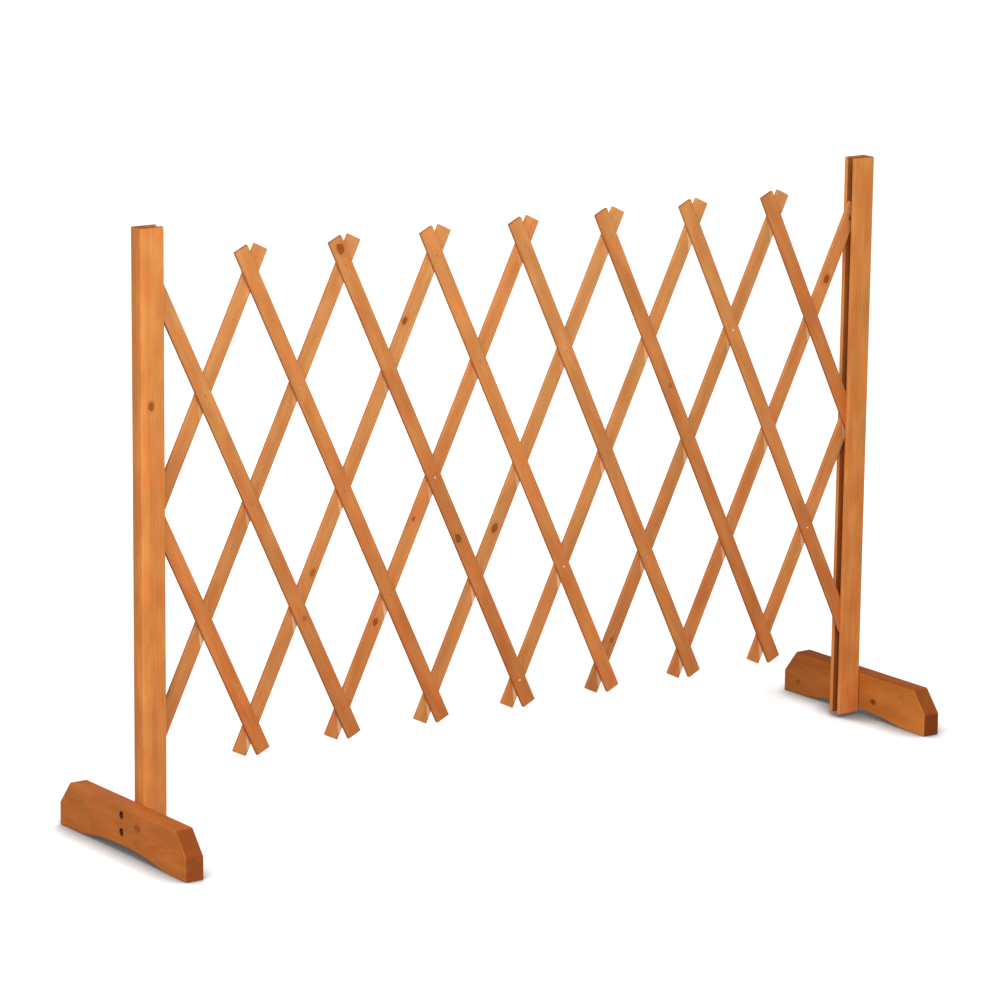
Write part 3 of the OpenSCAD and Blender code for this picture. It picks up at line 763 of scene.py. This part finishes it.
# Slats. Thin planed softwood laths, two layers of nine pinned where they cross, those next to the posts
# ending short in the grooves. They were stained once pinned, with the lattice less open than now, so the
# faces that lay on each other stayed pale. Lower down they are redder, and darker as painted shade.
def make_slat_tree():
    """A lath hanging from its upper pivot along -Z, with rounded arrises and a bore at each pin."""
    tree, given, out = new_geometry_tree("lattice_slat", (
        ("Top", "Float"), ("Bottom", "Float"), ("Width", "Float"), ("Thickness", "Float"),
        ("Arris", "Float"), ("Bores", "Int"), ("First Bore", "Float"), ("Bore Spacing", "Float"),
        ("Bore Radius", "Float"), ("Pivot At", "Float"), ("Pivot Radius", "Float"), ("Wood", "Material")))
    through, across = 0.03, (math.pi / 2, 0, 0)
    bore_sides, pivot_sides = 20, 28

    def upright(value):
        """A point on the lath's axis."""
        return add_node(tree, "ShaderNodeCombineXYZ", 0.0, 0.0, value).outputs[0]

    path = link_in(tree, "GeometryNodeCurvePrimitiveLine",
                   {"Start": upright(given["Bottom"]), "End": upright(given["Top"])})
    section = link_in(tree, "GeometryNodeCurvePrimitiveQuadrilateral",
                      {"Width": given["Width"], "Height": given["Thickness"]})
    rounded = link_in(tree, "GeometryNodeFilletCurve", {
        "Curve": section, "Radius": given["Arris"], "Count": 2, "Limit Radius": True}, mode="POLY")
    lath = link_in(tree, "GeometryNodeCurveToMesh",
                   {"Curve": path, "Profile Curve": rounded, "Fill Caps": True})
    places = link_in(tree, "GeometryNodeMeshLine", {
        "Count": given["Bores"], "Start Location": upright(given["First Bore"]),
        "Offset": upright(given["Bore Spacing"])})
    drill = link_in(tree, "GeometryNodeMeshCylinder",
                    {"Vertices": bore_sides, "Depth": through, "Radius": given["Bore Radius"]})
    drills = link_in(tree, "GeometryNodeInstanceOnPoints",
                     {"Points": places, "Instance": drill, "Rotation": across})
    wide = link_in(tree, "GeometryNodeMeshCylinder",
                   {"Vertices": pivot_sides, "Depth": through, "Radius": given["Pivot Radius"]})
    wide = link_in(tree, "GeometryNodeTransform",
                   {"Geometry": wide, "Translation": upright(given["Pivot At"]), "Rotation": across})
    both = add_node(tree, "GeometryNodeJoinGeometry")
    tree.links.new(wide, both.inputs[0])
    tree.links.new(drills, both.inputs[0])
    tools = link_in(tree, "GeometryNodeRealizeInstances", {"Geometry": both.outputs[0]})
    cut = link_in(tree, "GeometryNodeMeshBoolean", {"Mesh 1": lath, "Mesh 2": tools},
                  operation="DIFFERENCE", solver="EXACT")
    finish_tree(tree, cut, given["Wood"], out)
    return tree


pin_spacing, lean, stained_lean = 0.213, math.radians(25.7), math.radians(16.8)
slat_w, slat_t, layer_gap = 0.027, 0.0065, 0.0003


def make_covered_group():
    """A mask of where the other layer kept a slat's inner face dry.

    It is strongest below each pin and low on the slat. Crossed is the stretch of the slat that the other
    layer crosses, from its upper to its lower end, and how dry the slat stayed at its top.
    """
    group, given, out = new_group(
        "covered_while_stained", [("Place", "Vector"), ("Crossed", "Vector"), ("Inner Side", "Float")],
        [("Mask", "Float")])
    pin_fade, above_pin, edge_fade = 0.004, 0.2, 0.0025
    inner_from, low_from, low_full = slat_t * 0.49, -0.1, -0.7
    place = add_node(group, "ShaderNodeSeparateXYZ", given["Place"]).outputs
    steps = maths(group, "DIVIDE", place[2], pin_spacing)
    off_step = maths(group, "SUBTRACT", steps, maths(group, "ROUND", steps))
    near = maths(group, "MULTIPLY", off_step, pin_spacing)
    dry = ease(group, near, -pin_fade, pin_fade, 1.0, above_pin)
    near = maths(group, "MULTIPLY", near, given["Inner Side"])
    off = maths(group, "SUBTRACT", maths(group, "MULTIPLY", place[0], math.cos(2 * stained_lean)),
                maths(group, "MULTIPLY", near, math.sin(2 * stained_lean)))
    strip = ease(group, maths(group, "ABSOLUTE", off), slat_w / 2 - edge_fade, slat_w / 2, 1.0, 0.0)
    strip = maths(group, "MULTIPLY", strip, dry)
    inwards = maths(group, "MULTIPLY", place[1], given["Inner Side"])
    strip = maths(group, "MULTIPLY", strip, maths(group, "GREATER_THAN", inwards, inner_from))
    upper_end, lower_end, top_share = add_node(group, "ShaderNodeSeparateXYZ", given["Crossed"]).outputs
    below_upper = maths(group, "LESS_THAN", place[2], upper_end)
    above_lower = maths(group, "GREATER_THAN", place[2], lower_end)
    within = maths(group, "MULTIPLY", below_upper, above_lower)
    lower = ease(group, place[2], low_full, low_from, 1.0, 0.0)
    share = add_node(group, "ShaderNodeMix", lower, None, top_share, 1.0).outputs[0]
    within = maths(group, "MULTIPLY", within, share)
    send(group, (maths(group, "MULTIPLY", strip, within),), out)
    return group


covered = make_covered_group()


def slat_wood(name, inner_side, pale, deep):
    """Stained wood for one layer, pale where the other layer covered it."""
    material, grain = stained_wood(name, pale, deep)
    tree = material.node_tree
    mask = add_node(tree, "ShaderNodeGroup", node_tree=covered)
    read_stored(tree, mask, ("Place", "Crossed"))
    mask.inputs["Inner Side"].default_value = inner_side
    tree.links.new(mask.outputs[0], grain.inputs["Bare"])
    return material


front_wood = slat_wood("front_slat_wood", 1.0, (0.74, 0.268, 0.076), (0.55, 0.172, 0.042))
back_wood = slat_wood("back_slat_wood", -1.0, (0.74, 0.285, 0.086), (0.55, 0.186, 0.048))
slat_tree = make_slat_tree()
free_tail, groove_tail = 0.050, 0.012
arris, end_ease = 0.0008, 0.0006
bore_r, out_of_the_way, same_place = 0.00115, 1.0, 1e-6
half_bay = pin_spacing / 2
column_pitch, row_pitch = 2 * pin_spacing * math.sin(lean), pin_spacing * math.cos(lean)
middle_col, last_col, middle_row = 4, 8, 2


def crossing(col, row):
    """Where a column and a row of the lattice meet, in the middle between its layers."""
    return Vector(((col - middle_col) * column_pitch, 0.0, lattice_mid + (middle_row - row) * row_pitch))


def slat_soak_and_shade(centre, normal):
    """A little on the narrow sides and the ends: more stain, with painted shade on the sides."""
    side_soak_and_shade, faces_side = 0.18, 0.9
    return side_soak_and_shade if max(abs(normal.x), abs(normal.z)) > faces_side else 0.0


# The knots that the photograph shows, and the slats whose brightness and redness it shows.
slat_knots = {"front_2": [(0.002, -0.66, -0.0030)],
              "front_4": [(0.002, 0.030, 0.0063), (-0.004, -0.549, 0.0052)],
              "front_7": [(0.003, -0.31, -0.0030)],
              "back_3": [(-0.008, -0.123, 0.0042), (0.004, -0.574, -0.0042)],
              "back_4": [(-0.002, -0.692, 0.0045), (-0.006, -0.505, 0.0026)],
              "back_5": [(-0.002, -0.545, 0.0054)],
              "back_7": [(0.001, -0.805, -0.0034)],
              "back_8": [(0.001, -0.134, 0.0054), (0.002, -0.014, 0.004)]}
own_shade = {"front_2": (0.91, -0.3), "front_3": (0.92, 0.1), "front_4": (0.88, 0.15),
             "front_8": (0.94, -0.2), "front_9": (0.90, 0.45), "back_1": (0.93, -0.3),
             "back_2": (0.90, -0.1), "back_3": (0.97, -0.35), "back_4": (0.98, 0.2),
             "back_5": (0.96, -0.55), "back_6": (0.98, -0.35), "back_7": (0.97, -0.1),
             "back_8": (0.96, 0.35)}
# How the tone changes along a metre, lower down darker as painted shade and redder, and how dry each
# slat stayed near its top.
shade_and_red_slope = {"front": Vector((0.10, -1.8, 0.0)), "back": Vector((0.10, -1.2, 0.0))}
own_shade_and_red_slope = {"back_7": Vector((0.25, -1.2, 0.0))}
top_dry = {"back_6": 0.9, "back_7": 0.5, "back_8": 0.7, "back_9": 0.7}
usual_top_dry, above_all, below_all = 0.25, 1.0, -2.0
# The bounds of what is drawn for each slat: its pith's place and lean, its brightness and its redness.
pith_near, pith_far, pith_beside, most_lean, grain_shift = 0.012, 0.06, 0.03, 0.014, 20
dullest, brightest, most_red = 0.90, 1.06, 0.5
draw = random.Random(11)
for layer, way, material in (("front", -1, front_wood), ("back", 1, back_wood)):
    for number in range(1, 10):
        bays = 2 if number in (1, 9) else 4
        if layer == "front":
            col, row = max(number - 2, 0), (middle_row if number == 1 else 0)
            top_held, low_held = number <= 2, number >= 8
        else:
            col, row = min(number, last_col), (middle_row if number == 9 else 0)
            top_held, low_held = number >= 8, number <= 2
        top = groove_tail if top_held else free_tail
        bottom = -bays * pin_spacing - (groove_tail if low_held else free_tail)
        first, last = (1 if top_held else 0), (bays - 1 if low_held else bays)
        pivot = out_of_the_way
        if bays == 2:
            pivot = 0.0 if top_held else -bays * pin_spacing
        name = f"{layer}_{number}"
        mesh = grown(slat_tree, f"{name}_lath", {
            "Top": top, "Bottom": bottom, "Width": slat_w, "Thickness": slat_t, "Arris": arris,
            "Bores": last - first + 1, "First Bore": -first * pin_spacing, "Bore Spacing": -pin_spacing,
            "Bore Radius": bore_r, "Pivot At": pivot, "Pivot Radius": post_pin_r, "Wood": material})
        shape = bmesh.new()
        shape.from_mesh(mesh)
        at_end = {v for v in shape.verts if min(abs(v.co.z - top), abs(v.co.z - bottom)) < same_place}
        rims = [e for e in shape.edges if at_end.issuperset(e.verts)]
        bmesh.ops.bevel(shape, geom=rims, offset=end_ease, segments=2, affect="EDGES")
        shape.to_mesh(mesh)
        shape.free()
        mesh.shade_flat()
        behind = draw.choice((-1, 1)) * draw.uniform(pith_near, pith_far)
        beside = draw.uniform(-pith_beside, pith_beside)
        pith = Vector((beside, behind, draw.uniform(-grain_shift, grain_shift)))
        drawn_shade = (draw.uniform(dullest, brightest), draw.uniform(-most_red, most_red))
        slope_here = own_shade_and_red_slope.get(name, shade_and_red_slope[layer])
        half_way = shade_and_red_slope[layer] * (bays * pin_spacing / 2 if row == 0 else 0.0)
        tone = Vector((*own_shade.get(name, drawn_shade), 0.0)) + half_way
        pith_lean = draw.uniform(-most_lean, most_lean)
        knots = slat_knots.get(name, [])
        lay_grain(mesh, Matrix.Identity(4), pith, pith_lean, tone, slope_here, knots, slat_soak_and_shade)
        upper_end = -half_bay if top_held and bays > 2 else above_all
        lower_end = half_bay - bays * pin_spacing if low_held and bays > 2 else below_all
        crossed = (upper_end, lower_end, top_dry.get(name, usual_top_dry))
        store(mesh, "crossed", "POINT", [crossed] * len(mesh.vertices))
        spot = crossing(col, row) + Vector((0, way * (layer_gap + slat_t) / 2, 0))
        mesh.transform(Matrix.Translation(spot) @ Matrix.Rotation(way * lean, 4, "Y"))
        as_piece(f"{layer}_lath_{number}", mesh, material, name, f"{layer}_slat_{number}")


# Lattice pins. A thin plated steel pin with a low domed head goes through both layers at every crossing
# clear of the posts, its tail spread flat behind. They ride on the front slats; stain covers most heads.
pin_r, pin_head_r, pin_head_h = 0.0011, 0.0017, 0.0005
pin_tail_r, pin_tail_h, pin_play = 0.0018, 0.0005, 0.00015
pin_rounding, pin_sides = ((1.0, 0.35), (0.8, 0.75), (0.4, 0.97), (0.0, 1.0)), 24
layer_out = layer_gap / 2 + slat_t
tail_at = -layer_out - pin_play
tail_end = tail_at - pin_tail_h
pin_profile = [(0, tail_end), (pin_tail_r * 0.75, tail_end), (pin_tail_r, tail_at - pin_tail_h / 2),
               (pin_tail_r, tail_at), (pin_r, tail_at), (pin_r, layer_out), (pin_head_r, layer_out),
               *dome(pin_head_r, layer_out, pin_head_h, pin_rounding)]
pin_master = master_copy("lattice_pin", as_mesh("lattice_pin", turned(pin_profile, pin_sides)))
# The slats on which some heads have lost their stain, and which pin is the first of them.
first_bare, none_bare, worn_share = {4: 2, 5: 3, 8: 1}, 9, 0.7
# The column and row where a slat starts, and its first and last pin, where they aren't the usual ones.
pin_rows = {1: (0, 2, 1, 2), 2: (0, 0, 1, 4), 8: (6, 0, 0, 3), 9: (7, 0, 0, 1)}
for number in range(1, 10):
    col, row, first, last = pin_rows.get(number, (number - 2, 0, 0, 4))
    mesh = grown(fastener_tree, f"pin_row_{number}", {
        "Fastener": pin_master, "Count": last - first + 1,
        "First": crossing(col + first / 2, row + first), "Step": (column_pitch / 2, 0, -row_pitch),
        "Turn": (math.pi / 2, 0, 0), "Roll": 0.0, "First Bare": first_bare.get(number, none_bare),
        "Bare Every": 2, "Bare Share": worn_share, "Metal": pin_metal})
    as_piece(f"pin_row_{number}", mesh, pin_metal, f"front_{number}", f"slat_pins_{number}")
bpy.data.objects.remove(pin_master)
